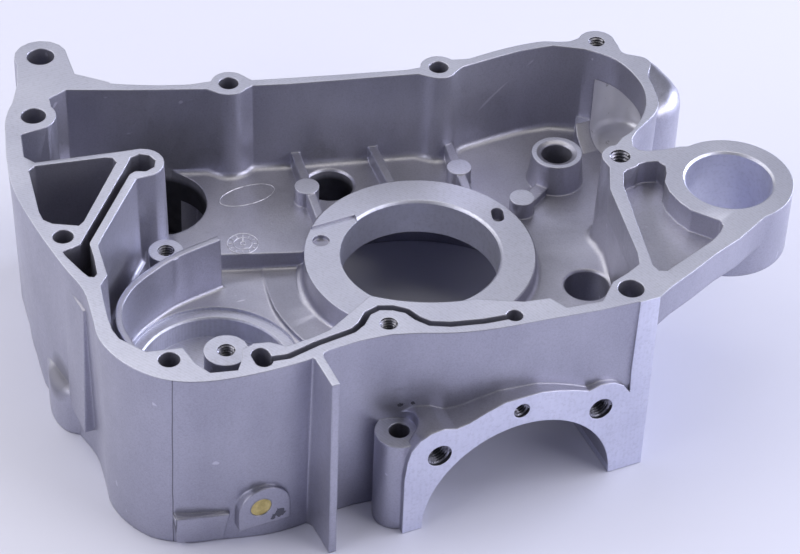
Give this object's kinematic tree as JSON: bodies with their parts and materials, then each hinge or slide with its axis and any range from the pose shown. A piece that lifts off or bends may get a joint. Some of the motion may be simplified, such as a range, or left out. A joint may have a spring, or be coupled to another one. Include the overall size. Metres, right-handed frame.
{
  "type": "crankcase half",
  "caption": "Cast aluminium half of a small engine's crankcase, with a bearing ring, chamber, pump seat, baffle, hanger arm and half-round cylinder opening.",
  "frame": {"origin": "on the crankshaft's axis, in the plane of the split face that meets the other half", "axes": "+Z along the crankshaft's axis from the split face to the cover face, -Y towards the cylinder, +X towards the hanger arm"},
  "size_m": [0.2334, 0.1939, 0.07],
  "materials": {
    "cast_aluminium": "satin",
    "brass": "satin"
  },
  "bodies": {
    "root": {"crankcase": "cast_aluminium", "oil_gallery_plug": "brass"}
  },
  "joints": []
}
